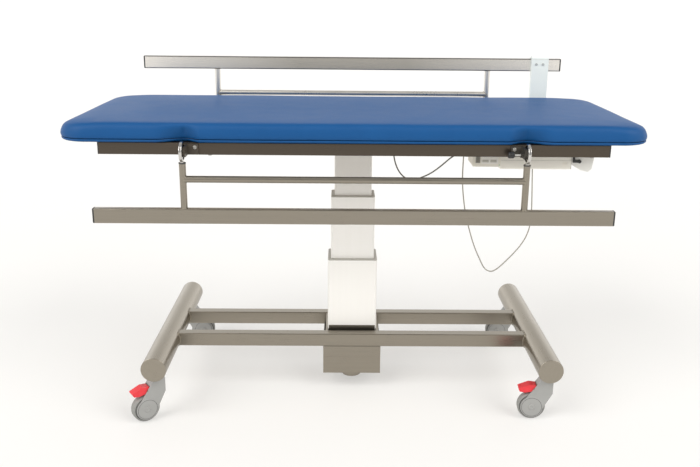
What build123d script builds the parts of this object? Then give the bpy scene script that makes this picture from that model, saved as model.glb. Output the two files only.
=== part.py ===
from build123d import *
import math
import os

# Mobile height-adjustable examination and changing table.
# The origin is on the floor midway between the castors. X runs along the bed, Y across it
# towards the rear side rail, and Z is up. The front rail is folded down and the rear one is
# raised. All sizes are in millimetres.

# ---- driving dimensions --------------------------------------------------------------------

# every cutting body runs this far past the face it opens
cut_past = 1.0

# bed
mattress_length = 1956.0
mattress_width = 770.0
mattress_thickness = 68.0
mattress_corner = 100.0
mattress_edge_round = 14.0
mattress_bottom_z = 1005.0
board_end_inset = 55.0
board_frame_inset = 28.0
board_thickness = 10.0
board_corner = 60.0
cove_depth = 36.0
cove_height = 52.0
cove_length = 130.0
frame_end_inset = 138.0
frame_tube_width = 30.0
frame_tube_height = 40.0
frame_wall = 2.0
frame_plug = 4.0
frame_plug_depth = 20.0
cross_tube_end_inset = 20.0
cross_tube_inner_x = 110.0
head_plate_thickness = 12.0
head_plate_length = 320.0
head_plate_width = 200.0
frame_screw_left_inset = 364.0
frame_screw_right_inset = 56.0
frame_screw_radius = 3.0
frame_screw_head_radius = 7.0
frame_screw_head_height = 4.0
frame_screw_head_round = 2.0
screw_hole_play = 0.3

# side rails and their hinges
post_x = 556.0
post_radius = 11.0
post_wall = 2.0
hinge_reach = 52.0
hinge_drop = 20.0
rail_drop = 212.0
mid_bar_drop = 90.0
mid_bar_radius = 11.0
rail_tube_length = 1710.0
rail_tube_height = 50.0
rail_tube_width = 25.0
rail_tube_wall = 2.0
rail_tube_round = 4.0
rail_plug = 6.0
rail_plug_depth = 22.0
disc_radius = 33.0
disc_thickness = 10.0
disc_round = 2.5
disc_neck_width = 16.0
post_gap = 2.0
post_cap = 6.0
hinge_pin_radius = 6.0
hinge_pin_head = 4.0
hinge_play = 0.05
ear_thickness = 6.0
ear_gap = 0.5
ear_radius = 16.0
bracket_length = 40.0
bracket_plate = 6.0
bracket_height = 34.0
bracket_screw_offset = 29.0
bracket_screw_rise = 6.0
bracket_screw_radius = 4.0
bracket_screw_head_radius = 6.5
bracket_screw_head = 3.5
bracket_screw_socket_radius = 3.0
lock_in = 20.5
lock_down = 8.0
lock_pin_radius = 3.0
lock_pin_entry = 1.5
lock_groove_depth = 2.5
lock_groove_play = 1.0
lock_bush_radius = 8.0
lock_bush_length = 8.0
lock_knob_radius = 10.0
lock_knob_length = 20.0
lock_knob_gap = 20.0
lock_knob_round = 3.0

# lifting column
outer_x = 186.0
outer_y = 140.0
outer_top_z = 505.0
outer_wall = 5.0
middle_x = 163.0
middle_y = 110.0
middle_bottom_z = 312.0
middle_top_z = 747.0
middle_wall = 4.0
inner_x = 138.0
inner_y = 84.0
inner_bottom_z = 560.0
inner_wall = 4.0
column_corner = 9.0
collar_flange = 4.0
collar_depth = 40.0
collar_play = 0.4
spindle_radius = 9.0
spindle_top_z = 470.0
spindle_y = 20.0
hollow_screw_radius = 14.0
hollow_screw_top_z = 740.0
hollow_screw_cap = 8.0
nut_height = 30.0
nut_wall = 3.5
nut_plate = 12.0
screw_play = 0.06
motor_radius = 30.0
motor_y = -34.0
motor_drop = 34.0
motor_rise = 8.0
gearbox_length = 60.0
gearbox_height = 26.0
gearbox_gap = 1.0

# base
side_tube_radius = 44.45
side_tube_wall = 3.0
side_tube_x = 698.0
side_tube_z = 204.5
base_half_width = 396.0
end_disc = 4.0
beam_y = 110.0
beam_width = 40.0
beam_height = 50.0
beam_top_z = 230.0
beam_wall = 3.0
box_length = 219.0
box_depth = 111.0
box_wall = 3.0
side_plate = 8.0
side_plate_height = 48.0
boss_radius = 37.0
boss_depth = 44.0
boss_wall = 3.0

# castors
wheel_radius = 50.0
wheel_width = 30.0
wheel_hub_radius = 39.0
wheel_tyre_round = 7.0
castor_trail = 50.0
castor_y = 345.0
castor_axle_radius = 5.0
castor_head_radius = 21.0
castor_neck_rise = 54.0
castor_cheek_radius = 37.0
castor_cheek = 5.0
castor_wheel_gap = 1.5
castor_arch_gap = 4.0
castor_head_gap = 1.5
castor_stem_radius = 6.0
castor_stem_play = 0.05
castor_stem_length = 40.0
socket_radius = 16.0
socket_height = 50.0
socket_lip = 2.0
pedal_width = 34.0
pedal_play = 2.0
pedal_press = 8.0
pedal_pin_back = 5.0
pedal_pin_rise = 20.0
pedal_pin_radius = 2.5
pedal_pin_play = 0.05
pedal_round = 3.0
# side outline of the pedal, measured from the top of the wheel
pedal_side = ((-13.0, 38.5), (12.0, 42.5), (58.0, 18.5), (50.0, 7.5), (26.0, 4.5), (-13.0, 12.5))

# control unit, battery and handset
control_length = 95.0
control_front = -300.0
control_depth = 100.0
control_cross_in = 52.0
control_height = 47.0
control_round = 5.0
battery_length = 239.0
battery_height = 49.0
battery_round = 6.0
cradle_plate = 6.0
cradle_length = 78.0
cradle_hold = 5.0
cradle_throat = 38.0
# lower edge of the cradle's end block, measured from the top of its outer face
cradle_foot = ((-8.0, -52.4), (-20.0, -62.4), (-45.0, -56.4))
latch_length = 26.0
latch_thickness = 7.0
latch_gap = 0.5
latch_arm_half = 4.0
latch_hub_radius = 6.0
latch_hook_width = 6.0
latch_hook_rise = 14.0
handset_x = 765.0
handset_width = 68.0
handset_thickness = 20.0
handset_front_gap = 2.1
handset_top_z = 1236.0
handset_bottom_z = 1046.0
handset_hook = 5.0
handset_hook_drop = 30.0
handset_play = 0.4
handset_back_share = 0.55
handset_crown_round = 4.0
button_radius = 5.0
button_proud = 2.5
button_seat = 1.5
button_play = 0.3
button_pocket = 5.0
button_round = 1.0
button_spacing = 27.0
button_offset = -2.0
button_drop = 34.0

# cables
cable_radius = 2.5
plug_radius = 7.0
plug_length = 15.0
gland_length = 15.0
gland_radius = 8.0
under_clip_in = 11.2
under_clip_y = 171.0
under_clip_z = 956.0
clip_hole_radius = 4.0
clip_length = 12.0
rear_clip_out = 11.0
rear_clip_lift = 2.0
rear_clip_half = 5.0

# ---- sizes that follow ---------------------------------------------------------------------

board_length = mattress_length - 2 * board_end_inset
frame_length = mattress_length - 2 * frame_end_inset
end_cross_x = frame_length / 2 - cross_tube_end_inset
frame_screw_x = (frame_screw_left_inset - frame_length / 2,
                 frame_length / 2 - frame_screw_right_inset)
frame_bottom_z = mattress_bottom_z - frame_tube_height
head_plate_bottom_z = frame_bottom_z - head_plate_thickness
handset_front_y = mattress_width / 2 + handset_front_gap
handset_back_y = handset_front_y + handset_thickness
rear_rail_inner_y = handset_back_y + handset_play
pivot_y = rear_rail_inner_y + rail_tube_width / 2
frame_half_width = pivot_y - hinge_reach
board_width = 2 * (frame_half_width - board_frame_inset)
pivot_z = mattress_bottom_z - hinge_drop
lock_radius = math.hypot(lock_in, lock_down)
ear_x = post_x - disc_thickness / 2 - ear_gap
side_tube_bottom_z = side_tube_z - side_tube_radius
beam_bottom_z = beam_top_z - beam_height
box_bottom_z = beam_bottom_z - box_depth
box_half_width = beam_y + beam_width / 2
outer_bottom_z = box_bottom_z + box_wall
cradle_right = end_cross_x - frame_tube_width / 2 + cradle_hold
cradle_left = cradle_right - cradle_length
battery_left = cradle_left - battery_length
control_left = battery_left - control_length
control_cross_x = control_left + control_cross_in
control_bottom_z = frame_bottom_z - control_height
control_mid_y = control_front + control_depth / 2
pedal_pivot = (castor_trail - pedal_pin_back, 2 * wheel_radius + pedal_pin_rise)

nodes = {}
screws = []


# ---- small makers --------------------------------------------------------------------------

def block(x0, x1, y0, y1, z0, z1):
    """Box between two corners."""
    size = Box(x1 - x0, y1 - y0, z1 - z0)
    return Pos((x0 + x1) / 2, (y0 + y1) / 2, (z0 + z1) / 2) * size


def rod_x(radius, x0, x1, y, z):
    """Round bar along X."""
    bar = Rot(0, 90, 0) * Cylinder(radius, abs(x1 - x0))
    return Pos((x0 + x1) / 2, y, z) * bar


def rod_y(radius, y0, y1, x, z):
    """Round bar along Y."""
    bar = Rot(90, 0, 0) * Cylinder(radius, abs(y1 - y0))
    return Pos(x, (y0 + y1) / 2, z) * bar


def rod_z(radius, z0, z1, x, y):
    """Round bar along Z."""
    return Pos(x, y, (z0 + z1) / 2) * Cylinder(radius, abs(z1 - z0))


def upright(length_x, length_y, corner, z0, z1):
    """Rounded-rectangle prism standing on Z."""
    outline = Rectangle(length_x, length_y)
    rounded = fillet(outline.vertices(), corner)
    return Pos(0, 0, z0) * extrude(rounded, z1 - z0)


def stage_tube(length_x, length_y, wall, z0, z1):
    """One column stage: a rounded rectangular tube."""
    outside = upright(length_x, length_y, column_corner, z0, z1)
    inside = upright(length_x - 2 * wall, length_y - 2 * wall, column_corner - wall,
                     z0 - cut_past, z1 + cut_past)
    return outside - inside


def group(*solids):
    """Separate solids that share one node."""
    flat = []
    for solid in solids:
        flat.extend(solid.solids())
    return Compound(children=flat)


# ---- base ----------------------------------------------------------------------------------

def make_base():
    tubes = []
    sockets = []
    stems = []
    for side in (-1, 1):
        x = side * side_tube_x
        half = base_half_width - end_disc
        tube = rod_y(side_tube_radius, -half, half, x, side_tube_z)
        tube -= rod_y(side_tube_radius - side_tube_wall, -half - cut_past, half + cut_past, x,
                      side_tube_z)
        for end in (-1, 1):
            y = end * castor_y
            low = side_tube_bottom_z - socket_lip
            high = side_tube_bottom_z + socket_height
            tube -= rod_z(socket_radius, low, high, x, y)
            stem_top = side_tube_bottom_z + castor_stem_length
            stem_low = low - castor_head_gap - castor_stem_length
            bore = rod_z(castor_stem_radius, low - cut_past, stem_top, x, y)
            sockets.append(rod_z(socket_radius, low, high, x, y) - bore)
            stems.append(rod_z(castor_stem_radius, stem_low, stem_top, x, y))
            disc = rod_y(side_tube_radius, end * half, end * base_half_width, x, side_tube_z)
            rim = disc.edges().filter_by(GeomType.CIRCLE).sort_by(Axis.Y)
            disc = fillet(rim[-1] if end > 0 else rim[0], end_disc / 3)
            tubes.append(disc)
        tubes.append(tube)
    nodes["base_side_tubes"] = group(*tubes)
    nodes["castor_sockets"] = group(*sockets)
    nodes["castor_stems"] = group(*stems)

    beams = []
    for end in (-1, 1):
        y = end * beam_y
        half = beam_width / 2
        beam = block(-side_tube_x, side_tube_x, y - half, y + half, beam_bottom_z, beam_top_z)
        long_edges = beam.edges().filter_by(Axis.X)
        beam = fillet(long_edges, beam_wall)
        beam -= block(-side_tube_x - cut_past, side_tube_x + cut_past, y - half + beam_wall,
                      y + half - beam_wall, beam_bottom_z + beam_wall, beam_top_z - beam_wall)
        for side in (-1, 1):
            beam -= rod_y(side_tube_radius, y - beam_width, y + beam_width, side * side_tube_x,
                          side_tube_z)
        beams.append(beam)
    nodes["base_beams"] = group(*beams)

    half_x = box_length / 2
    box = block(-half_x, half_x, -box_half_width, box_half_width, box_bottom_z, beam_bottom_z)
    box -= block(-half_x + box_wall, half_x - box_wall, -box_half_width + box_wall,
                 box_half_width - box_wall, outer_bottom_z, beam_bottom_z + cut_past)
    box -= rod_z(motor_radius, box_bottom_z - cut_past, outer_bottom_z + cut_past, 0, motor_y)

    plates = []
    for side in (-1, 1):
        x0 = side * outer_x / 2
        x1 = side * (outer_x / 2 + side_plate)
        reach = beam_y - beam_width / 2
        plates.append(block(min(x0, x1), max(x0, x1), -reach, reach, beam_bottom_z,
                            beam_bottom_z + side_plate_height))
    nodes["column_box"] = group(box, *plates)

    boss = rod_z(boss_radius, box_bottom_z - boss_depth, box_bottom_z, 0, motor_y)
    boss = fillet(boss.edges().sort_by(Axis.Z)[0], boss_wall)
    boss -= rod_z(boss_radius - boss_wall, box_bottom_z - boss_depth + boss_wall,
                  box_bottom_z + cut_past, 0, motor_y)
    nodes["motor_boss"] = boss


# ---- lifting column ------------------------------------------------------------------------

def make_collar(outside, inside, wall, top_z):
    """Moulded guide collar: a flange on the stage's end and a sleeve down to the next stage."""
    length_x, length_y = outside
    inner_x_size, inner_y_size = inside
    flange = upright(length_x, length_y, column_corner, top_z, top_z + collar_flange)
    flange = fillet(flange.edges().group_by(Axis.Z)[-1], collar_flange / 3)
    sleeve = upright(length_x - 2 * wall, length_y - 2 * wall, column_corner - wall,
                     top_z - collar_depth, top_z)
    opening = upright(inner_x_size + 2 * collar_play, inner_y_size + 2 * collar_play,
                      column_corner + collar_play, top_z - collar_depth - cut_past,
                      top_z + collar_flange + cut_past)
    return flange + sleeve - opening


def make_column():
    nodes["column_outer"] = stage_tube(outer_x, outer_y, outer_wall, outer_bottom_z, outer_top_z)
    nodes["column_outer_collar"] = make_collar((outer_x, outer_y), (middle_x, middle_y),
                                               outer_wall, outer_top_z)
    nodes["column_middle"] = stage_tube(middle_x, middle_y, middle_wall, middle_bottom_z,
                                        middle_top_z)
    nodes["column_middle_collar"] = make_collar((middle_x, middle_y), (inner_x, inner_y),
                                                middle_wall, middle_top_z)
    nodes["column_inner"] = stage_tube(inner_x, inner_y, inner_wall, inner_bottom_z,
                                       head_plate_bottom_z)

    gearbox_half = outer_y / 2 - outer_wall - gearbox_gap
    gearbox = block(-gearbox_length / 2, gearbox_length / 2, -gearbox_half, gearbox_half,
                    outer_bottom_z, outer_bottom_z + gearbox_height)
    motor = rod_z(motor_radius, box_bottom_z - motor_drop,
                  outer_bottom_z + gearbox_height + motor_rise, 0, motor_y)
    nodes["lift_motor"] = gearbox + motor
    nodes["lower_spindle"] = rod_z(spindle_radius, outer_bottom_z + gearbox_height,
                                   spindle_top_z, 0, spindle_y)

    nut_corner = column_corner - middle_wall
    lower_plate = upright(middle_x - 2 * middle_wall, middle_y - 2 * middle_wall, nut_corner,
                          middle_bottom_z, middle_bottom_z + nut_plate)
    screw = rod_z(hollow_screw_radius, middle_bottom_z, hollow_screw_top_z, 0, spindle_y)
    screw_bore = rod_z(spindle_radius + screw_play, middle_bottom_z - cut_past,
                       hollow_screw_top_z - hollow_screw_cap, 0, spindle_y)
    nodes["hollow_screw"] = lower_plate + screw - screw_bore

    upper_plate = upright(inner_x - 2 * inner_wall, inner_y - 2 * inner_wall,
                          column_corner - inner_wall, inner_bottom_z, inner_bottom_z + nut_plate)
    nut = rod_z(hollow_screw_radius + nut_wall, inner_bottom_z, inner_bottom_z + nut_height, 0,
                spindle_y)
    nut_bore = rod_z(hollow_screw_radius + screw_play, inner_bottom_z - cut_past,
                     inner_bottom_z + nut_height + cut_past, 0, spindle_y)
    nodes["upper_nut"] = upper_plate + nut - nut_bore


# ---- bed frame and mattress ----------------------------------------------------------------

def make_frame():
    plug_x = frame_length / 2 - frame_plug
    tubes = []
    plugs = []
    for side in (-1, 1):
        y0 = side * (frame_half_width - frame_tube_width)
        y1 = side * frame_half_width
        low_y = min(y0, y1)
        high_y = max(y0, y1)
        tube = block(-plug_x, plug_x, low_y, high_y, frame_bottom_z, mattress_bottom_z)
        tube = fillet(tube.edges().filter_by(Axis.X), frame_wall)
        tube -= block(-plug_x - cut_past, plug_x + cut_past, low_y + frame_wall, high_y - frame_wall,
                      frame_bottom_z + frame_wall, mattress_bottom_z - frame_wall)
        screw_y = side * (frame_half_width - frame_tube_width / 2)
        for x in frame_screw_x:
            tube -= rod_z(frame_screw_radius + screw_hole_play, frame_bottom_z - cut_past,
                          mattress_bottom_z + cut_past, x, screw_y)
            head = rod_z(frame_screw_head_radius, frame_bottom_z - frame_screw_head_height,
                         frame_bottom_z, x, screw_y)
            head = fillet(head.edges().sort_by(Axis.Z)[0], frame_screw_head_round)
            shank = rod_z(frame_screw_radius, frame_bottom_z, mattress_bottom_z, x, screw_y)
            screws.append(head + shank)
        tubes.append(tube)
        for end in (-1, 1):
            face = end * plug_x
            cap_x = end * frame_length / 2
            cap = block(min(face, cap_x), max(face, cap_x), low_y, high_y, frame_bottom_z,
                        mattress_bottom_z)
            cap = fillet(cap.edges().filter_by(Axis.X), frame_wall)
            root_x = end * (plug_x - frame_plug_depth)
            stub = block(min(face, root_x), max(face, root_x), low_y + frame_wall,
                         high_y - frame_wall, frame_bottom_z + frame_wall,
                         mattress_bottom_z - frame_wall)
            plugs.append(cap + stub)
    nodes["bed_long_tubes"] = group(*tubes)
    nodes["bed_tube_plugs"] = group(*plugs)

    reach = frame_half_width - frame_tube_width
    cross = []
    reaches = (end_cross_x, control_cross_x, cross_tube_inner_x)
    for x in (*[-x for x in reaches], *reaches):
        half = frame_tube_width / 2
        tube = block(x - half, x + half, -reach, reach, frame_bottom_z, mattress_bottom_z)
        tube -= block(x - half + frame_wall, x + half - frame_wall, -reach - cut_past,
                      reach + cut_past, frame_bottom_z + frame_wall, mattress_bottom_z - frame_wall)
        cross.append(tube)
    nodes["bed_cross_tubes"] = group(*cross)
    nodes["head_plate"] = block(-head_plate_length / 2, head_plate_length / 2,
                                -head_plate_width / 2, head_plate_width / 2,
                                head_plate_bottom_z, frame_bottom_z)


def make_mattress():
    outline = fillet(Rectangle(board_length, board_width).vertices(), board_corner)
    board = Pos(0, 0, mattress_bottom_z) * extrude(outline, board_thickness)
    nodes["mattress_board"] = board

    outline = fillet(Rectangle(mattress_length, mattress_width).vertices(), mattress_corner)
    pad = Pos(0, 0, mattress_bottom_z) * extrude(outline, mattress_thickness)
    rims = pad.edges().group_by(Axis.Z)
    pad = fillet(rims[0] + rims[-1], mattress_edge_round)
    pad -= Pos(0, 0, mattress_bottom_z) * extrude(
        fillet(Rectangle(board_length, board_width).vertices(), board_corner), board_thickness)
    edge = mattress_width / 2
    for side in (-1, 1):
        wedge_outline = Plane.YZ * make_face(Polyline(
            (side * (edge - cove_depth), mattress_bottom_z - cut_past),
            (side * (edge + cut_past), mattress_bottom_z - cut_past),
            (side * (edge + cut_past), mattress_bottom_z + cove_height),
            (side * (edge - cove_depth), mattress_bottom_z - cut_past)))
        wedge = extrude(wedge_outline, cove_length / 2, both=True)
        for end in (-1, 1):
            pad -= Pos(end * post_x, 0, 0) * wedge
    nodes["mattress"] = pad


# ---- side rails, hinges and locks ----------------------------------------------------------

def make_rail(name, side, up):
    """A side rail. side is -1 at the front and 1 at the rear; up is 1 raised and -1 folded."""
    y = side * pivot_y
    top_z = pivot_z + up * rail_drop
    posts = []
    discs = []
    for end in (-1, 1):
        x = end * post_x
        disc = rod_x(disc_radius, x - disc_thickness / 2, x + disc_thickness / 2, y, pivot_z)
        disc = fillet(disc.edges().filter_by(GeomType.CIRCLE), disc_round)
        disc -= rod_x(hinge_pin_radius + hinge_play, x - disc_thickness, x + disc_thickness, y,
                      pivot_z)
        inboard = x - end * disc_thickness / 2
        ring_width = lock_pin_radius + lock_groove_play
        ring = rod_x(lock_radius + ring_width, inboard - lock_groove_depth,
                     inboard + lock_groove_depth, y, pivot_z)
        ring -= rod_x(lock_radius - ring_width, inboard - lock_groove_depth - cut_past,
                      inboard + lock_groove_depth + cut_past, y, pivot_z)
        disc -= ring
        start = pivot_z + up * (disc_radius + post_gap)
        stop = pivot_z + up * (rail_drop - rail_tube_height / 2)
        neck_root = pivot_z + up * (disc_radius - post_cap)
        disc += block(x - disc_thickness / 2, x + disc_thickness / 2, y - disc_neck_width / 2,
                      y + disc_neck_width / 2, min(start, neck_root), max(start, neck_root))
        discs.append(disc)
        post = rod_z(post_radius, start, stop, x, y)
        post -= rod_z(post_radius - post_wall, start + up * post_cap, stop + up * cut_past, x, y)
        posts.append(post)
    bar_z = pivot_z + up * mid_bar_drop
    bar = rod_x(mid_bar_radius, -post_x, post_x, y, bar_z)
    bar -= rod_x(mid_bar_radius - post_wall, -post_x - cut_past, post_x + cut_past, y, bar_z)
    for end in (-1, 1):
        bar -= rod_z(post_radius, bar_z - 2 * mid_bar_radius, bar_z + 2 * mid_bar_radius,
                     end * post_x, y)
    nodes[name + "_hinge_discs"] = group(*discs)
    nodes[name + "_bars"] = group(bar, *posts)

    half_l = rail_tube_length / 2 - rail_plug
    half_w = rail_tube_width / 2
    half_h = rail_tube_height / 2
    tube = block(-half_l, half_l, y - half_w, y + half_w, top_z - half_h, top_z + half_h)
    tube = fillet(tube.edges().filter_by(Axis.X), rail_tube_round)
    hollow_w = half_w - rail_tube_wall
    hollow_h = half_h - rail_tube_wall
    hollow = block(-half_l - cut_past, half_l + cut_past, y - hollow_w, y + hollow_w, top_z - hollow_h,
                   top_z + hollow_h)
    hollow = fillet(hollow.edges().filter_by(Axis.X), rail_tube_round - rail_tube_wall)
    nodes[name + "_top_tube"] = tube - hollow

    plugs = []
    for end in (-1, 1):
        face = end * half_l
        tip = end * rail_tube_length / 2
        cap = block(min(face, tip), max(face, tip), y - half_w, y + half_w, top_z - half_h,
                    top_z + half_h)
        cap = fillet(cap.edges().filter_by(Axis.X), rail_tube_round)
        rim = cap.edges().group_by(Axis.X)[-1 if end > 0 else 0]
        cap = fillet(rim, rail_plug / 2)
        root_x = end * (half_l - rail_plug_depth)
        stub = block(min(face, root_x), max(face, root_x), y - hollow_w, y + hollow_w,
                     top_z - hollow_h, top_z + hollow_h)
        stub = fillet(stub.edges().filter_by(Axis.X), rail_tube_round - rail_tube_wall)
        plugs.append(cap + stub)
    nodes[name + "_end_plugs"] = group(*plugs)


def make_hinge_brackets():
    brackets = []
    pins = []
    for side in (-1, 1):
        y = side * pivot_y
        face_y = side * frame_half_width
        for end in (-1, 1):
            outer_face = end * ear_x
            inner_face = end * (ear_x - ear_thickness)
            plate_end = end * (ear_x - bracket_length)
            low_z = pivot_z + ear_radius - bracket_height
            plate_y = side * (frame_half_width + bracket_plate)
            plate = block(min(outer_face, plate_end), max(outer_face, plate_end),
                          min(face_y, plate_y), max(face_y, plate_y),
                          low_z, pivot_z + ear_radius)
            ear = rod_x(ear_radius, inner_face, outer_face, y, pivot_z)
            web = block(min(inner_face, outer_face), max(inner_face, outer_face),
                        min(face_y, y), max(face_y, y), low_z, pivot_z + ear_radius)
            bracket = plate + ear + web
            if end > 0:
                lock_y = side * (pivot_y - lock_in)
                lock_z = pivot_z - lock_down
                bush_end = ear_x - ear_thickness - lock_bush_length
                bracket += rod_x(lock_bush_radius, bush_end, ear_x, lock_y, lock_z)
                bracket -= rod_x(lock_pin_radius + hinge_play, bush_end - cut_past,
                                 ear_x + cut_past, lock_y, lock_z)
            bracket -= rod_x(hinge_pin_radius, min(inner_face, outer_face) - cut_past,
                             max(inner_face, outer_face) + cut_past, y, pivot_z)
            screw_x = end * (ear_x - bracket_screw_offset)
            screw_z = pivot_z + bracket_screw_rise
            bracket -= rod_y(bracket_screw_radius, min(face_y, plate_y), max(face_y, plate_y),
                             screw_x, screw_z)
            brackets.append(bracket)

            head_y = side * (frame_half_width + bracket_plate + bracket_screw_head)
            head = rod_y(bracket_screw_head_radius, min(plate_y, head_y), max(plate_y, head_y),
                         screw_x, screw_z)
            rim = head.edges().filter_by(GeomType.CIRCLE).sort_by(Axis.Y)
            head = fillet(rim[-1] if side > 0 else rim[0], bracket_screw_head / 2)
            socket_y = side * (frame_half_width + bracket_plate + bracket_screw_head / 2)
            head -= rod_y(bracket_screw_socket_radius, min(socket_y, head_y),
                          max(socket_y, head_y), screw_x, screw_z)
            shank = rod_y(bracket_screw_radius, min(face_y, plate_y), max(face_y, plate_y),
                          screw_x, screw_z)
            screws.append(head + shank)

            pin_tip = end * (post_x + disc_thickness / 2 + ear_gap)
            pin_head = end * (post_x + disc_thickness / 2 + ear_gap + hinge_pin_head)
            pin = rod_x(hinge_pin_radius, min(inner_face, pin_tip), max(inner_face, pin_tip), y,
                        pivot_z)
            cap = rod_x(hinge_pin_radius + hinge_pin_head, min(pin_tip, pin_head),
                        max(pin_tip, pin_head), y, pivot_z)
            rim = cap.edges().filter_by(GeomType.CIRCLE).sort_by(Axis.X)
            cap = fillet(rim[-1] if end > 0 else rim[0], hinge_pin_head / 2)
            pins.append(pin + cap)
    nodes["hinge_brackets"] = group(*brackets)
    nodes["hinge_pins"] = group(*pins)


def make_lock(name, side):
    """Pull knob on a sprung pin that runs in the hinge disc's groove."""
    y = side * (pivot_y - lock_in)
    z = pivot_z - lock_down
    tip = post_x - disc_thickness / 2 + lock_pin_entry
    knob_right = ear_x - ear_thickness - lock_bush_length - lock_knob_gap
    knob_left = knob_right - lock_knob_length
    knob = rod_x(lock_knob_radius, knob_left, knob_right, y, z)
    knob = fillet(knob.edges().filter_by(GeomType.CIRCLE), lock_knob_round)
    pin = rod_x(lock_pin_radius, knob_right, tip, y, z)
    nodes[name] = knob + pin


# ---- castors -------------------------------------------------------------------------------

def make_castor(name, x, y, heading, pedal):
    """A castor whose wheel trails its swivel axis by castor_trail, towards heading in degrees."""
    place = Pos(x, y, 0) * Rot(0, 0, heading)
    side_plane = Plane.XZ
    head_top = side_tube_bottom_z - socket_lip - castor_head_gap
    cheek_half = wheel_width / 2 + castor_wheel_gap + castor_cheek

    wheel_at = Pos(castor_trail, 0, wheel_radius)
    lay = Rot(90, 0, 0)
    tyre = lay * Cylinder(wheel_radius, wheel_width)
    tyre = fillet(tyre.edges().filter_by(GeomType.CIRCLE), wheel_tyre_round)
    tyre -= lay * Cylinder(wheel_hub_radius, wheel_width + 2 * cut_past)
    hub = lay * Cylinder(wheel_hub_radius, wheel_width)
    hub -= lay * Cylinder(castor_axle_radius + hinge_play, wheel_width + 2 * cut_past)
    nodes[name + "_wheel"] = group(place * wheel_at * tyre, place * wheel_at * hub)

    axle = lay * Cylinder(castor_axle_radius, 2 * cheek_half)
    pins = [place * wheel_at * axle]
    neck_low = wheel_radius + castor_neck_rise
    profile = Sketch() + make_hull(
        (Pos(castor_trail, wheel_radius) * Circle(castor_cheek_radius)).edges()
        + (Pos(0, (head_top + neck_low) / 2)
           * Rectangle(2 * castor_head_radius, head_top - neck_low)).edges())
    body = extrude(side_plane * profile, cheek_half, both=True)
    body = fillet(body.edges().filter_by(GeomType.CIRCLE, reverse=False).filter_by(
        lambda e: abs(e.radius - castor_cheek_radius) < 0.5), castor_cheek / 3)
    body -= wheel_at * lay * Cylinder(wheel_radius + castor_arch_gap,
                                      wheel_width + 2 * castor_wheel_gap)
    body -= wheel_at * lay * Cylinder(castor_axle_radius, 2 * cheek_half + 2 * cut_past)
    stem_room = head_top - castor_stem_length
    body -= Pos(0, 0, (stem_room + head_top + cut_past) / 2) * Cylinder(
        castor_stem_radius + castor_stem_play, head_top + cut_past - stem_room)
    if pedal:
        room = offset(pedal_outline(), pedal_play)
        pressed = Pos(*pedal_pivot) * Rot(0, 0, -pedal_press) * Pos(-pedal_pivot[0],
                                                                    -pedal_pivot[1]) * room
        body -= extrude(side_plane * room, pedal_width / 2 + cut_past, both=True)
        body -= extrude(side_plane * pressed, pedal_width / 2 + cut_past, both=True)
        lever = extrude(side_plane * pedal_outline(), pedal_width / 2, both=True)
        lever = fillet(lever.edges().filter_by(Axis.Y), pedal_round)
        pin_at = Pos(pedal_pivot[0], 0, pedal_pivot[1])
        lever -= pin_at * lay * Cylinder(pedal_pin_radius + pedal_pin_play, pedal_width + 2 * cut_past)
        body -= pin_at * lay * Cylinder(pedal_pin_radius, 2 * cheek_half + 2 * cut_past)
        pins.append(place * pin_at * lay * Cylinder(pedal_pin_radius, 2 * cheek_half))
        nodes[name + "_pedal"] = place * lever
    nodes[name + "_axle"] = group(*pins)
    nodes[name + "_housing"] = place * body


def pedal_outline():
    """Side outline of the brake pedal over the wheel."""
    points = [(castor_trail + along, 2 * wheel_radius + rise) for along, rise in pedal_side]
    return make_face(Polyline(*points, points[0]))


# ---- control unit, battery and latch -------------------------------------------------------

def make_control():
    back = control_front + control_depth
    unit = block(control_left, battery_left, control_front, back, control_bottom_z,
                 frame_bottom_z)
    unit = fillet(unit.edges().filter_by(Axis.Y).group_by(Axis.Z)[0], control_round)
    nodes["control_unit"] = unit

    battery_top = frame_bottom_z - cradle_plate
    battery = block(battery_left, cradle_left, control_front, back, battery_top - battery_height,
                    battery_top)
    battery = fillet(battery.edges().filter_by(Axis.X).group_by(Axis.Z)[0], battery_round)
    nodes["battery"] = battery

    spine = block(battery_left, cradle_left, control_front, back, battery_top, frame_bottom_z)
    outline = make_face(Polyline(
        (cradle_left, frame_bottom_z), (cradle_right, frame_bottom_z),
        *[(cradle_right + along, frame_bottom_z + rise) for along, rise in cradle_foot],
        (cradle_left, frame_bottom_z - cradle_throat), (cradle_left, frame_bottom_z)))
    end_block = Pos(0, control_mid_y, 0) * extrude(Plane.XZ * outline, control_depth / 2,
                                                   both=True)
    nodes["battery_cradle"] = spine + end_block

    pivot_x = cradle_left + latch_length
    latch_z = frame_bottom_z - latch_length
    front = control_front
    tip_x = cradle_left + latch_arm_half
    lever = block(tip_x, pivot_x, front - latch_thickness, front - latch_gap,
                  latch_z - latch_arm_half, latch_z + latch_arm_half)
    lever += rod_y(latch_hub_radius, front - latch_thickness, front - latch_gap, pivot_x, latch_z)
    lever += block(tip_x, tip_x + latch_hook_width, front - latch_thickness, front - latch_gap,
                   latch_z, latch_z + latch_hook_rise)
    nodes["battery_latch"] = lever


# ---- handset -------------------------------------------------------------------------------

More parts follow.
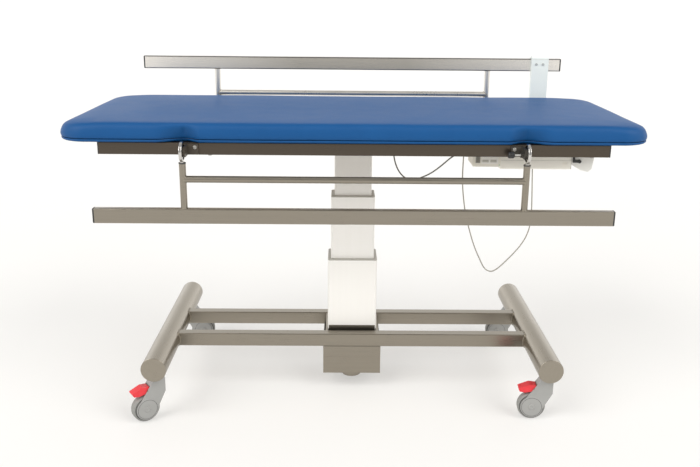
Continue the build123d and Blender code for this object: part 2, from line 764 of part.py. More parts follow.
def make_handset():
    """Hand control hung over the rear rail's top tube, on the side towards the mattress."""
    rail_top = pivot_z + rail_drop + rail_tube_height / 2
    back = handset_back_y
    front = handset_front_y
    over = pivot_y + rail_tube_width / 2 + handset_play
    hook_top = rail_top + handset_play + handset_hook
    x0 = handset_x - handset_width / 2
    x1 = handset_x + handset_width / 2
    body = block(x0, x1, front, back, handset_bottom_z, handset_top_z)
    top_front = body.edges().filter_by(Axis.X).group_by(Axis.Z)[-1].sort_by(Axis.Y)[0]
    body = fillet(top_front, handset_thickness * handset_back_share)
    body += block(x0, x1, back, over + handset_hook, rail_top + handset_play, hook_top)
    body += block(x0, x1, over, over + handset_hook, hook_top - handset_hook_drop, hook_top)
    crown = body.edges().filter_by(Axis.X).sort_by(
        lambda e: e.center().Y + e.center().Z)[-1]
    body = fillet(crown, handset_crown_round)
    for side, name in ((-1, "handset_button_down"), (1, "handset_button_up")):
        x = handset_x + button_offset + side * button_spacing / 2
        z = handset_top_z - button_drop
        body -= rod_y(button_radius + button_play, front - cut_past, front + button_pocket, x, z)
        button = rod_y(button_radius, front - button_proud, front + button_seat, x, z)
        rim = button.edges().filter_by(GeomType.CIRCLE).sort_by(Axis.Y)[0]
        nodes[name] = fillet(rim, button_round)
    nodes["handset"] = body


# ---- cables --------------------------------------------------------------------------------

plug_tip_x = control_left - plug_length
gland_z = head_plate_bottom_z - gland_length
column_cable_route = [
    (145, -85, gland_z), (145, -85, 916), (150, -93, 888), (163, -108, 858), (184, -130, 839),
    (211, -152, 836), (240, -175, 851), (272, -200, 873), (304, -226, 906), (334, -251, 942),
    (357, -262, 954), (plug_tip_x, -262, 954),
]
loop_cable_route = [
    (plug_tip_x, -232, 945), (361, -232, 945), (340, -216, 945), (333, -184, 944), (342, -136, 940),
    (357, -85, 934), (373, -33, 930), (389, 20, 929), (405, 70, 933), (420, 106, 943),
    (434, 138, 954), (441, 186, 957), (446, 208, 941), (447, 217, 912), (445, 216, 866),
    (443, 212, 814), (443, 209, 758), (448, 208, 702), (456, 207, 648), (467, 208, 596),
    (482, 208, 546), (498, 209, 496), (514, 210, 456), (530, 211, 424), (545, 211, 392),
    (562, 212, 372), (585, 214, 366), (608, 218, 378), (636, 225, 402), (668, 236, 431),
    (701, 251, 463), (729, 268, 498), (747, 286, 539),
    *[(x, frame_half_width + out, z) for x, out, z in (
        (755, -62, 586), (758, -41, 638), (759, -22, 695), (759, -7, 755), (758, 3, 812),
        (757, 9, 867), (756.5, 11.5, 913), (757, rear_clip_out, 943), (757, rear_clip_out, 970))],
]
# the lead crosses from the clip on the frame to the middle of the handset's lower end
rear_clip_y = frame_half_width + rear_clip_out
handset_mid_y = (handset_front_y + handset_back_y) / 2
handset_cable_route = [(x, rear_clip_y + (handset_mid_y - rear_clip_y) * share, z)
                       for x, share, z in (
    (757, 0, 970), (757, 0, 984), (758.5, 0.39, 997), (762, 0.89, 1010), (764.5, 1.05, 1022),
    (765, 1, 1034), (765, 1, 1046))]


def make_cable(name, route):
    """Round cable along straight runs joined by tangent arcs."""
    points = [Vector(*point) for point in route]
    radii = []
    for before, here, after in zip(points, points[1:], points[2:]):
        turn = (here - before).get_angle(after - here)
        shorter = min((here - before).length, (after - here).length)
        radii.append(0.45 * shorter / math.tan(math.radians(turn / 2)))
    path = FilletPolyline(*points, radius=radii)
    start = Plane(origin=path @ 0, z_dir=path % 0)
    tube = sweep(start * Circle(cable_radius), path=path)
    nodes[name] = tube
    volume = math.pi * cable_radius ** 2 * path.length
    print(name, "length", round(path.length, 1), "volume ratio", round(tube.volume / volume, 4),
          "radii", [round(radius) for radius in radii])


def make_cables():
    make_cable("column_cable", column_cable_route)
    make_cable("loop_cable", loop_cable_route)
    make_cable("handset_cable", handset_cable_route)

    plugs = []
    for route in (column_cable_route[::-1], loop_cable_route):
        x, y, z = route[0]
        plugs.append(rod_x(plug_radius, x, control_left, y, z))
    x, y, z = column_cable_route[0]
    gland = rod_z(gland_radius, z, head_plate_bottom_z, x, y)
    nodes["cable_fittings"] = group(gland, *plugs)

    clip_x = control_cross_x - under_clip_in
    clip_y = under_clip_y
    clip_z = under_clip_z
    half = clip_length / 2
    under = block(clip_x - half, clip_x + half, clip_y - half, clip_y + half, clip_z - half,
                  frame_bottom_z)
    under -= rod_y(clip_hole_radius, clip_y - half - cut_past, clip_y + half + cut_past,
                   clip_x, clip_z)
    x, y, z = loop_cable_route[-1]
    low = z + rear_clip_lift - rear_clip_half
    high = z + rear_clip_lift + rear_clip_half
    rear = block(x - half, x + half, frame_half_width, y + half, low, high)
    rear -= rod_z(clip_hole_radius, low - cut_past, high + cut_past, x, y)
    nodes["cable_clips"] = group(under, rear)


# ---- the whole table -----------------------------------------------------------------------

make_base()
make_column()
make_frame()
make_mattress()
make_rail("front_rail", -1, -1)
make_rail("rear_rail", 1, 1)
make_hinge_brackets()
make_lock("front_lock", -1)
make_lock("rear_lock", 1)
nodes["frame_screws"] = group(*screws)
make_castor("castor_front_left", -side_tube_x, -castor_y, 215, True)
make_castor("castor_front_right", side_tube_x, -castor_y, 176, True)
make_castor("castor_rear_left", -side_tube_x, castor_y, 8, False)
make_castor("castor_rear_right", side_tube_x, castor_y, 172, False)
make_control()
make_handset()
make_cables()

os.makedirs("parts", exist_ok=True)
for node, shape in nodes.items():
    export_step(shape, "parts/" + node + ".step")
print(len(nodes), "nodes")
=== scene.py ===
import math

import bmesh
import bpy
from mathutils import Matrix, Vector, noise


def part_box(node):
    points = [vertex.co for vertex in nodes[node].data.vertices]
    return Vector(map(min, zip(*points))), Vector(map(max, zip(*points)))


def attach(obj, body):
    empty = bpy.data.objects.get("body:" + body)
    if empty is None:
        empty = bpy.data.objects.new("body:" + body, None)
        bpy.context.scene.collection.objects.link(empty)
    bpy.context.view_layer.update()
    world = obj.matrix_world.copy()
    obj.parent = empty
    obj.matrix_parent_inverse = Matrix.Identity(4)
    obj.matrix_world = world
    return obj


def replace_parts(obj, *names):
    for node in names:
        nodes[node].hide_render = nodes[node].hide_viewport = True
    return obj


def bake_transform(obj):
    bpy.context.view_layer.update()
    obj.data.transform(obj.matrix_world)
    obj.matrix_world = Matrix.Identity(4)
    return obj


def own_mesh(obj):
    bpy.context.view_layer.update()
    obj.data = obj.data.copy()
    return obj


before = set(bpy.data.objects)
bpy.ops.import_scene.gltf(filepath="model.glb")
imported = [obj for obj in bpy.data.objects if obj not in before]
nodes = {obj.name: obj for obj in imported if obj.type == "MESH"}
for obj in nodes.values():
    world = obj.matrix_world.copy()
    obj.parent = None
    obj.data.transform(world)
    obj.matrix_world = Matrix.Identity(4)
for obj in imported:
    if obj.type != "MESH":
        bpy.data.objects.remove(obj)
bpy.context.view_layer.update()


# ---- camera --------------------------------------------------------------------------------
# A standing person's view from in front of the table, a little above the mattress and looking
# down at the base, through a moderately long lens.

camera_lens = bpy.data.cameras.new("studio_camera")
camera_lens.lens = 42.4
camera_lens.sensor_width = 36.0
camera = bpy.data.objects.new("studio_camera", camera_lens)
camera_spot = (-0.0432, -3.0311, 1.4857)
camera_pan = -0.01106
camera_tilt = 0.28694
camera_roll = 0.0093
camera.matrix_world = (Matrix.Translation(camera_spot)
                       @ Matrix.Rotation(camera_pan, 4, "Z")
                       @ Matrix.Rotation(math.pi / 2 - camera_tilt, 4, "X")
                       @ Matrix.Rotation(camera_roll, 4, "Z"))
bpy.context.scene.collection.objects.link(camera)
bpy.context.scene.camera = camera
bpy.context.scene.view_settings.view_transform = "Standard"


# ---- light and floor -----------------------------------------------------------------------
# A white studio, brightest round the horizon and behind the table, with a wide soft light at
# each side of its front. The table stands on a sheet of seamless white paper.

class Shade:
    """One output in a shader tree. Sums and products on it add Math nodes."""

    def __init__(self, tree, socket=None):
        self.tree = tree
        self.socket = socket

    def node(self, kind, settings=None, sockets=None, out=0):
        """Adds a node: its settings first, then the values or links of its sockets."""
        made = self.tree.nodes.new(kind)
        for name, value in (settings or {}).items():
            if name == "stops":
                ramp = made.color_ramp.elements
                while len(ramp) < len(value):
                    ramp.new(1.0)
                for stop, (place, colour) in zip(ramp, value):
                    stop.position = place
                    stop.color = (*colour, 1.0)
            else:
                setattr(made, name, value)
        for name, value in (sockets or {}).items():
            if isinstance(value, Shade):
                self.tree.links.new(value.socket, made.inputs[name])
            elif isinstance(value, tuple) and made.inputs[name].type == "RGBA":
                made.inputs[name].default_value = (*value, 1.0)
            else:
                made.inputs[name].default_value = value
        return Shade(self.tree, made.outputs[out] if made.outputs else None)

    def math(self, operation, first, second=0.0, clamp=False):
        return self.node("ShaderNodeMath", {"operation": operation, "use_clamp": clamp},
                         {0: first, 1: second})

    def __add__(self, other):
        return self.math("ADD", self, other)

    def __sub__(self, other):
        return self.math("SUBTRACT", self, other)

    def __rsub__(self, other):
        return self.math("SUBTRACT", other, self)

    def __mul__(self, other):
        return self.math("MULTIPLY", self, other)

    def __truediv__(self, other):
        return self.math("DIVIDE", self, other)

    def __rtruediv__(self, other):
        return self.math("DIVIDE", other, self)

    __radd__ = __add__
    __rmul__ = __mul__

    def over(self, limit, blur):
        """A mask that rises from 0 to 1 as this value passes the limit."""
        return self.math("ADD", (self - limit) / blur, 0.5, clamp=True)

    def stretched(self, scale):
        """This place, with each axis multiplied."""
        return self.node("ShaderNodeVectorMath", {"operation": "MULTIPLY"}, {0: self, 1: scale})

    def coordinate(self, axis):
        """One of this place's three coordinates."""
        return self.node("ShaderNodeSeparateXYZ", {}, {0: self}, out=axis)

    def cloud(self, scale, detail=2.0, rough=0.5):
        """Soft noise between 0 and 1 over this place."""
        return self.node("ShaderNodeTexNoise", {},
                         {"Vector": self, "Scale": scale, "Detail": detail, "Roughness": rough})

    def mixed(self, first, second):
        """Two colours mixed by this mask."""
        return self.node("ShaderNodeMix", {"data_type": "RGBA"},
                         {0: self, 6: first, 7: second}, out=2)


def make_finish(name, paint, **fixed):
    """A material. paint takes the place on the piece and gives colour, roughness and height."""
    material = bpy.data.materials.new(name)
    material.use_nodes = True
    tree = material.node_tree
    tree.nodes.clear()
    start = Shade(tree)
    place = start.node("ShaderNodeTexCoord", out="Object")
    colour, roughness, height = paint(place)
    sockets = {"Base Color": colour, "Roughness": roughness}
    sockets.update({key.replace("_", " "): value for key, value in fixed.items()})
    if height is not None:
        sockets["Normal"] = start.node("ShaderNodeBump", {},
                                       {"Strength": 1.0, "Distance": 1.0, "Height": height})
    surface = start.node("ShaderNodeBsdfPrincipled", {}, sockets)
    start.node("ShaderNodeOutputMaterial", {}, {"Surface": surface})
    return material


def white_room():
    """Light from all round, weaker overhead and in front, and a backdrop that looks white."""
    room_strength = 1.05
    back_gain = 0.55
    world = bpy.data.worlds.new("white_studio")
    bpy.context.scene.world = world
    world.use_nodes = True
    world.node_tree.nodes.clear()
    start = Shade(world.node_tree)
    facing = start.node("ShaderNodeTexCoord", out="Generated")
    towards_back = facing.coordinate("Y")
    upward = facing.coordinate("Z")
    colour = start.node("ShaderNodeValToRGB", {"stops": [(0.0, (1.0, 1.0, 1.0)),
                                                         (0.30, (0.84, 0.835, 0.825)),
                                                         (0.65, (0.42, 0.415, 0.405)),
                                                         (1.0, (0.50, 0.50, 0.49))]}, {0: upward})
    seen_directly = start.node("ShaderNodeLightPath", out="Is Camera Ray")
    strength = towards_back * back_gain + room_strength + seen_directly
    glow = start.node("ShaderNodeBackground", {}, {"Color": colour, "Strength": strength})
    start.node("ShaderNodeOutputWorld", {}, {"Surface": glow})


def hang_light(name, direction, strength, softness):
    """A distant soft light that shines from that direction; softness is its width in degrees."""
    sun = bpy.data.lights.new(name, "SUN")
    sun.energy = strength
    sun.angle = math.radians(softness)
    sun.color = (1.0, 0.985, 0.96)
    lamp = bpy.data.objects.new(name, sun)
    lamp.matrix_world = Vector(direction).to_track_quat("Z", "Y").to_matrix().to_4x4()
    bpy.context.scene.collection.objects.link(lamp)


def paper(place):
    fibre = place.cloud(220.0, detail=4.0)
    shade = place.cloud(1.3)
    colour = shade.mixed((0.50, 0.495, 0.485), (0.52, 0.515, 0.505))
    return colour, fibre * 0.1 + 0.8, fibre * 0.0001


white_room()
hang_light("left_softbox", (-0.78, -0.66, 0.78), 2.0, 45)
hang_light("right_softbox", (0.80, -0.58, 0.74), 1.7, 45)
floor_half = 200.0
floor_mesh = bpy.data.meshes.new("studio_floor")
floor_mesh.from_pydata([(-floor_half, -floor_half, 0), (floor_half, -floor_half, 0),
                        (floor_half, floor_half, 0), (-floor_half, floor_half, 0)], [],
                       [(0, 1, 2, 3)])
floor_mesh.materials.append(make_finish("seamless_paper", paper, Emission_Strength=0.37,
                                        Emission_Color=(1.0, 0.993, 0.98)))
studio_floor = bpy.data.objects.new("studio_floor", floor_mesh)
bpy.context.scene.collection.objects.link(studio_floor)


# ---- base frame ----------------------------------------------------------------------------
# Two round cross tubes joined by two square beams, with a closed box under the column, all in
# satin-ground stainless steel. The beams are welded into the tubes and the bead is left on.

def satin_steel(along, tone=(0.295, 0.266, 0.220)):
    """Stainless steel ground along one axis: 0 is X, 1 is Y and 2 is Z."""
    fine_along, fine_across = 7.0, 900.0
    broad_along, broad_across = 1.6, 90.0
    fine = tuple(fine_along if axis == along else fine_across for axis in range(3))
    broad = tuple(broad_along if axis == along else broad_across for axis in range(3))
    light = tuple(part * 1.16 for part in tone)
    dark = tuple(part * 0.86 for part in tone)

    def paint(place):
        scratches = place.stretched(fine).cloud(1.0, detail=3.0)
        bands = place.stretched(broad).cloud(1.0)
        smears = place.cloud(9.0, detail=3.0)
        colour = (scratches * 0.5 + bands * 0.3 + smears * 0.2).mixed(dark, light)
        return colour, scratches * 0.14 + smears * 0.12 + 0.17, scratches * 0.00004
    return paint


def dress(finish, *names):
    """Gives CAD nodes a finish."""
    for name in names:
        mesh = nodes[name].data
        if not mesh.materials:
            mesh.materials.append(finish)
        for index in range(len(mesh.materials)):
            mesh.materials[index] = finish
        mesh.polygons.foreach_set("material_index", [0] * len(mesh.polygons))


def place_mesh(name, mesh, finish, body=None):
    """Puts a finished mesh in the scene, riding on a body if one is named."""
    mesh.materials.clear()
    mesh.materials.append(finish)
    mesh.polygons.foreach_set("use_smooth", [True] * len(mesh.polygons))
    piece = bpy.data.objects.new(name, mesh)
    bpy.context.scene.collection.objects.link(piece)
    if body:
        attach(piece, body)
    return piece


def curve_mesh(name, paths, radius, closed, ripple=0.0):
    """A round bar along each path, a little thicker and thinner by turns."""
    curve = bpy.data.curves.new(name, "CURVE")
    curve.dimensions = "3D"
    curve.bevel_depth = radius
    curve.bevel_resolution = 2
    curve.use_fill_caps = True
    for path in paths:
        spline = curve.splines.new("POLY")
        spline.points.add(len(path) - 1)
        for count, (point, spot) in enumerate(zip(spline.points, path)):
            point.co = (*spot, 1.0)
            point.radius = 1.0 + ripple * math.cos(math.pi * count)
        spline.use_cyclic_u = closed
    bar = bpy.data.objects.new(name, curve)
    bpy.context.scene.collection.objects.link(bar)
    bpy.context.view_layer.update()
    mesh = bpy.data.meshes.new_from_object(bar)
    bpy.data.objects.remove(bar)
    bpy.data.curves.remove(curve)
    mesh.name = name
    return mesh


def weld_metal(place):
    ripple = place.cloud(600.0, detail=2.0)
    heat = place.cloud(60.0)
    colour = heat.mixed((0.25, 0.225, 0.185), (0.36, 0.325, 0.265))
    return colour, ripple * 0.2 + 0.3, ripple * 0.0002


steel_x = make_finish("satin_steel_lengthwise", satin_steel(0), Metallic=1.0)
steel_y = make_finish("satin_steel_crosswise", satin_steel(1, (0.325, 0.293, 0.243)),
                      Metallic=1.0)
steel_z = make_finish("satin_steel_upright", satin_steel(2), Metallic=1.0)
weld_bead = make_finish("weld_bead", weld_metal, Metallic=1.0)
dress(steel_y, "base_side_tubes")
dress(steel_x, "base_beams", "column_box")
dress(steel_z, "castor_sockets", "castor_stems", "motor_boss")

tube_low, tube_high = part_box("base_side_tubes")
beams_low, beams_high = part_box("base_beams")
tube_radius = (tube_high.z - tube_low.z) / 2
tube_z = (tube_high.z + tube_low.z) / 2
tube_x = tube_high.x - tube_radius
beam_across = 0.040
beam_y = beams_high.y - beam_across / 2
weld_radius = 0.0028
weld_steps = 12
corners = [(-1, -1), (1, -1), (1, 1), (-1, 1)]
half_y = beam_across / 2
half_z = (beams_high.z - beams_low.z) / 2
mid_z = (beams_high.z + beams_low.z) / 2
weld_paths = []
for side in (-1, 1):
    for back in (-1, 1):
        path = []
        for (y0, z0), (y1, z1) in zip(corners, corners[1:] + corners[:1]):
            for step in range(weld_steps):
                share = step / weld_steps
                y = (y0 + (y1 - y0) * share) * half_y
                z = mid_z + (z0 + (z1 - z0) * share) * half_z
                x = tube_x - math.sqrt(tube_radius ** 2 - (z - tube_z) ** 2)
                path.append((side * x, back * beam_y + y, z))
        weld_paths.append(path)
place_mesh("base_welds", curve_mesh("base_welds", weld_paths, weld_radius, True, ripple=0.12),
           weld_bead, "root")


# ---- castors -------------------------------------------------------------------------------
# Grey nylon housings over grey rubber-tyred wheels, with a red brake pedal on the two at the
# front. Each wheel turns on a steel axle whose ends are closed by snap-in caps.

def grey_nylon(place):
    grain = place.cloud(900.0, detail=3.0)
    flow = place.cloud(22.0, detail=2.0)
    colour = flow.mixed((0.29, 0.29, 0.28), (0.335, 0.335, 0.325))
    return colour, grain * 0.12 + flow * 0.08 + 0.34, grain * 0.00005


def red_nylon(place):
    grain = place.cloud(800.0, detail=3.0)
    worn = place.cloud(45.0, detail=3.0)
    colour = worn.mixed((0.62, 0.022, 0.032), (0.78, 0.040, 0.050))
    return colour, grain * 0.15 + worn * 0.12 + 0.28, grain * 0.00006


def lathe(name, spot, axis, profile, finish, body, steps=40):
    """Turns a profile of (along, radius) pairs about an axis through the spot."""
    turn = Vector(axis).to_track_quat("Z", "Y").to_matrix()
    mesh = bmesh.new()
    rings = []
    for along, radius in profile:
        ring = []
        for step in range(steps):
            angle = 2 * math.pi * step / steps
            rim = Vector((radius * math.cos(angle), radius * math.sin(angle), along))
            ring.append(mesh.verts.new(Vector(spot) + turn @ rim))
        rings.append(ring)
    for lower, upper in zip(rings, rings[1:]):
        for step in range(steps):
            after = (step + 1) % steps
            mesh.faces.new((lower[step], lower[after], upper[after], upper[step]))
    mesh.faces.new(rings[0])
    mesh.faces.new(rings[-1])
    bmesh.ops.recalc_face_normals(mesh, faces=mesh.faces)
    made = bpy.data.meshes.new(name)
    mesh.to_mesh(made)
    mesh.free()
    return place_mesh(name, made, finish, body)


def wheel_finish(name, centre, axle):
    """Grey tyre round a paler hub, by distance from the axle."""
    hub_radius = 0.039
    ring_radius = 0.0422

    def paint(place):
        offset = place.node("ShaderNodeVectorMath", {"operation": "SUBTRACT"},
                            {0: place, 1: tuple(centre)})
        along = place.node("ShaderNodeVectorMath", {"operation": "DOT_PRODUCT"},
                           {0: offset, 1: tuple(axle)}, out="Value")
        reach = place.node("ShaderNodeVectorMath", {"operation": "LENGTH"}, {0: offset},
                           out="Value")
        radius = place.math("SQRT", reach * reach - along * along)
        tyre = radius.over(hub_radius, 0.0006)
        seam = 1.0 - place.math("ABSOLUTE", radius - ring_radius).over(0.0011, 0.0005)
        dust = place.cloud(120.0, detail=4.0)
        rubber = dust.mixed((0.20, 0.20, 0.19), (0.30, 0.30, 0.285))
        hub = dust.mixed((0.34, 0.34, 0.325), (0.40, 0.40, 0.385))
        colour = seam.mixed(tyre.mixed(hub, rubber), (0.05, 0.05, 0.05))
        return colour, tyre * 0.25 + dust * 0.15 + 0.35, dust * 0.0002
    return make_finish(name, paint)


nylon = make_finish("grey_nylon", grey_nylon)
red_pedal = make_finish("red_nylon", red_nylon)
# Near-black: for parting lines, and on the rail post collars for painted shade.
dark_line = make_finish("dark_parting_line_and_shade", lambda place: (
    place.cloud(300.0).mixed((0.035, 0.035, 0.035), (0.06, 0.06, 0.06)),
    place.cloud(500.0) * 0.2 + 0.5, None))
cheek_outside = 0.0215
disc_steps = 64
cap_profile = [(-0.001, 0.0118), (0.0012, 0.0118), (0.0024, 0.0104), (0.0028, 0.0070),
               (0.0018, 0.0052), (0.0018, 0.0010)]
disc_profile = [(-0.0042, 0.0340), (-0.0042, 0.0392), (-0.0004, 0.0400), (0.0004, 0.0394),
                (0.0008, 0.0380), (0.0006, 0.0200), (0.0006, 0.0010)]
ring_profile = [(0.0000, 0.0352), (0.0009, 0.0352), (0.0011, 0.0358), (0.0009, 0.0364),
                (0.0000, 0.0364)]
lever_root, lever_shortening = 0.030, 0.25
lever_top, lever_lowering = 0.075, 0.40
castor_headings = {"front_left": 215, "front_right": 176, "rear_left": 8, "rear_right": 172}
for castor, heading in castor_headings.items():
    stem = f"castor_{castor}"
    low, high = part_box(f"{stem}_wheel")
    centre = (low + high) / 2
    turned = math.radians(heading)
    axle = Vector((-math.sin(turned), math.cos(turned), 0))
    dress(nylon, f"{stem}_housing")
    dress(steel_y, f"{stem}_axle")
    dress(wheel_finish(f"{stem}_wheel_finish", centre, axle), f"{stem}_wheel")
    for side in (-1, 1):
        spot = centre + axle * side * cheek_outside
        facing = axle * side
        cheek = "a" if side < 0 else "b"
        lathe(f"{stem}_axle_cap_{cheek}", spot, facing, cap_profile, nylon, f"{stem}_swivel")
        lathe(f"{stem}_cover_disc_{cheek}", spot, facing, disc_profile, nylon,
              f"{stem}_swivel", steps=disc_steps)
        lathe(f"{stem}_cover_ring_{cheek}", spot, facing, ring_profile, dark_line,
              f"{stem}_swivel", steps=disc_steps)
    if f"{stem}_pedal" in nodes:
        ahead = Vector((math.cos(turned), math.sin(turned), 0))
        pedal = nodes[f"{stem}_pedal"].data.copy()
        for vert in pedal.vertices:
            along = (vert.co - centre).dot(ahead)
            rise = vert.co.z - centre.z
            vert.co -= ahead * lever_shortening * max(0.0, along - lever_root)
            vert.co.z -= lever_lowering * max(0.0, rise - lever_top)
        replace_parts(place_mesh(f"{stem}_pedal_lever", pedal, red_pedal, f"{stem}_pedal"),
                    f"{stem}_pedal")


# ---- lifting column ------------------------------------------------------------------------
# Three aluminium stages powder-coated off-white, sliding in grey moulded guide collars. The
# gear motor and the screws inside are plain machined steel.

def off_white_powder(place):
    peel = place.cloud(420.0, detail=2.0)
    draw = place.stretched((60.0, 60.0, 1.2)).cloud(1.0)
    colour = draw.mixed((0.86, 0.845, 0.81), (0.89, 0.875, 0.845))
    return colour, peel * 0.12 + draw * 0.10 + 0.34, peel * 0.00006


def guide_plastic(place):
    grain = place.cloud(700.0, detail=3.0)
    colour = grain.mixed((0.40, 0.395, 0.36), (0.48, 0.47, 0.43))
    return colour, grain * 0.15 + 0.42, grain * 0.00005


def machined_steel(place):
    rings = place.stretched((40.0, 40.0, 1400.0)).cloud(1.0)
    oil = place.cloud(30.0)
    return rings.mixed((0.33, 0.33, 0.33), (0.46, 0.46, 0.45)), oil * 0.25 + 0.2, rings * 0.00004


def moulded_plate(name, low, high, rounding, finish, body):
    """A small moulded block with every edge rounded."""
    low = Vector(low)
    high = Vector(high)
    block = bmesh.new()
    bmesh.ops.create_cube(block, size=1.0)
    for vert in block.verts:
        share = vert.co + Vector((0.5, 0.5, 0.5))
        vert.co = Vector(low[i] + (high[i] - low[i]) * share[i] for i in range(3))
    bmesh.ops.bevel(block, geom=block.edges, offset=rounding, segments=3, affect="EDGES",
                    profile=0.5)
    mesh = bpy.data.meshes.new(name)
    block.to_mesh(mesh)
    block.free()
    return place_mesh(name, mesh, finish, body)


column_powder = make_finish("off_white_powder", off_white_powder, Coat_Weight=0.1)
guide = make_finish("guide_plastic", guide_plastic)
machined = make_finish("machined_steel", machined_steel, Metallic=1.0)
dress(column_powder, "column_outer", "column_middle", "column_inner")
dress(guide, "column_outer_collar", "column_middle_collar", "upper_nut")
dress(machined, "lift_motor", "lower_spindle", "hollow_screw")

# A thin steel plate on the front and rear of the column's foot, given a dark steel tone: painted
# shade where the column meets the beams.
foot_shade_steel = make_finish("painted_shade_steel_foot", satin_steel(0, (0.150, 0.138, 0.112)), Metallic=0.9)
foot_low, foot_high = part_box("column_outer")
strip_thick = 0.003
strip_margin = 0.004
strip_below, strip_above = 0.020, 0.013
for side in (-1, 1):
    inside = foot_high.y * side
    outside = inside + side * strip_thick
    moulded_plate(f"column_foot_strip_{'front' if side < 0 else 'rear'}",
                  (foot_low.x + strip_margin, min(inside, outside), beams_high.z - strip_below),
                  (foot_high.x - strip_margin, max(inside, outside), beams_high.z + strip_above),
                  0.0008, foot_shade_steel, "root")


# ---- bed frame -----------------------------------------------------------------------------
# Rectangular stainless tube: two long members, six cross members welded between them, and the
# plate that bolts on the column. Black push-in plugs close the tube ends.

def black_plastic(place):
    grain = place.cloud(900.0, detail=3.0)
    flow = place.cloud(40.0)
    colour = flow.mixed((0.018, 0.018, 0.018), (0.032, 0.032, 0.031))
    return colour, grain * 0.18 + 0.38, grain * 0.00006


black_plug = make_finish("black_plastic", black_plastic)
# The long members get a much darker steel tone than the rest of the frame: painted shade from the
# mattress overhanging them.
shaded_steel = make_finish("painted_shade_steel_lengthwise", satin_steel(0, (0.088, 0.072, 0.056)),
                           Metallic=0.85)
dress(shaded_steel, "bed_long_tubes")
dress(steel_y, "bed_cross_tubes", "head_plate")
dress(black_plug, "bed_tube_plugs")


# ---- mattress ------------------------------------------------------------------------------
# Foam on a plywood board in welded blue vinyl. The cover is cut as a top with its sides and a
# bottom band, sewn together low on the side. The foam is cut away at each rail post.

pad_low, pad_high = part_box("mattress")
pad_half_x = pad_high.x
pad_half_y = pad_high.y
pad_base = pad_low.z
pad_depth = pad_high.z - pad_low.z
pad_corner = 0.100
rail_post_x = 0.556
seam_height = 0.012
cove_reach = 0.036
cove_outward = 0.094
cove_inward = 0.052
cove_fade = 0.060
pinch_depth = 0.0035
pinch_height = 0.036
pinch_half_wide, pinch_half_high = 0.007, 0.016
end_droop = 0.016
droop_long, droop_wide = 0.170, 0.110


def pad_outline(inset, count):
    """Points and outward directions round the pad's outline, that far inside its edge."""
    radius = max(pad_corner - inset, 0.004)
    long_x = 2 * (pad_half_x - inset - radius)
    long_y = 2 * (pad_half_y - inset - radius)
    full_x = 2 * (pad_half_x - pad_corner)
    full_y = 2 * (pad_half_y - pad_corner)
    quarter = math.pi * pad_corner / 2
    whole = 2 * (full_x + full_y) + 4 * quarter
    points = []
    for step in range(count):
        way = whole * step / count
        for side, (length, full) in enumerate(((long_x, full_x), (long_y, full_y)) * 2):
            turn = side * math.pi / 2
            ahead = Vector((math.cos(turn), math.sin(turn)))
            out = Vector((math.sin(turn), -math.cos(turn)))
            half_out = (pad_half_y if side % 2 == 0 else pad_half_x) - inset
            if way < full:
                points.append((ahead * (way / full - 0.5) * length + out * half_out, out))
                break
            way -= full
            if way < quarter:
                bend = way / quarter * math.pi / 2
                heading = out * math.cos(bend) + ahead * math.sin(bend)
                hub = ahead * length / 2 + out * (half_out - radius)
                points.append((hub + heading * radius, heading))
                break
            way -= quarter
    return points


def cove_at(x, out_y, height):
    """How far the foam is cut in at a rail post, by place along the side and height."""
    if abs(out_y) < 0.9:
        return 0.0
    offset = abs(x) - rail_post_x
    along = abs(offset) / (cove_outward if offset > 0 else cove_inward)
    if along >= 1:
        return 0.0
    across = (0.5 + 0.5 * math.cos(math.pi * along)) ** 0.8
    upward = max(0.0, 1 - height / (pad_depth * 0.90))
    pinch = pinch_depth * math.exp(-(offset / pinch_half_wide) ** 2
                                   - ((height - pinch_height) / pinch_half_high) ** 2)
    return cove_reach * across * upward ** 0.9 + pinch


def pad_point(spot, out, inset, height):
    """A place on the cover, with the coves, the seam's gathers and the foam's waver."""
    cut = cove_at(spot.x, out.y, height) * max(0.0, 1 - inset / cove_fade)
    waver = noise.noise(Vector((spot.x * 9, spot.y * 9, height * 20))) * 0.0009
    near_seam = math.exp(-((height - seam_height) / 0.010) ** 2)
    gathers = math.sin(spot.x * 190 + spot.y * 175) * 0.00035 * near_seam
    gathers += noise.noise(Vector((spot.x * 55, spot.y * 55, 3.0))) * 0.0007 * near_seam
    place = spot - out * cut + out * (waver + gathers)
    lift = noise.noise(Vector((spot.x * 4, spot.y * 4, 7.0))) * 0.0010
    near_end = min(1.0, max(0.0, 1 - (pad_half_x - abs(spot.x)) / droop_long)) ** 1.5
    lift -= end_droop * near_end * max(0.0, 1 - inset / droop_wide) ** 2
    lift *= max(0.0, min(1.0, (height - 0.020) / 0.030))
    return Vector((place.x, place.y, pad_base + height + lift))


side_profile = [
    (0.060, 0.0006), (0.040, 0.0004), (0.022, 0.0004), (0.012, 0.0010), (0.0060, 0.0026),
    (0.0028, 0.0050), (0.0016, 0.0075), (0.0018, 0.0095), (0.0030, 0.0108), (0.0060, 0.0116),
    (0.0062, 0.0122), (0.0030, 0.0130), (0.0014, 0.0146), (0.0004, 0.0180), (0.0000, 0.0230),
    (0.0002, 0.0290), (0.0008, 0.0350), (0.0016, 0.0410), (0.0026, 0.0460), (0.0040, 0.0505),
    (0.0060, 0.0545), (0.0088, 0.0580), (0.0124, 0.0610), (0.0170, 0.0633), (0.0230, 0.0648),
    (0.0310, 0.0657), (0.0440, 0.0665), (0.0600, 0.0671), (0.0780, 0.0676), (0.0980, 0.0680),
    (0.1250, 0.0684), (0.1550, 0.0687), (0.1950, 0.0690), (0.2400, 0.0692), (0.2900, 0.0693),
    (0.3400, 0.0694), (0.3700, 0.0694),
]
around = 960
floor_thick = 0.009
cover = bmesh.new()
rings = []
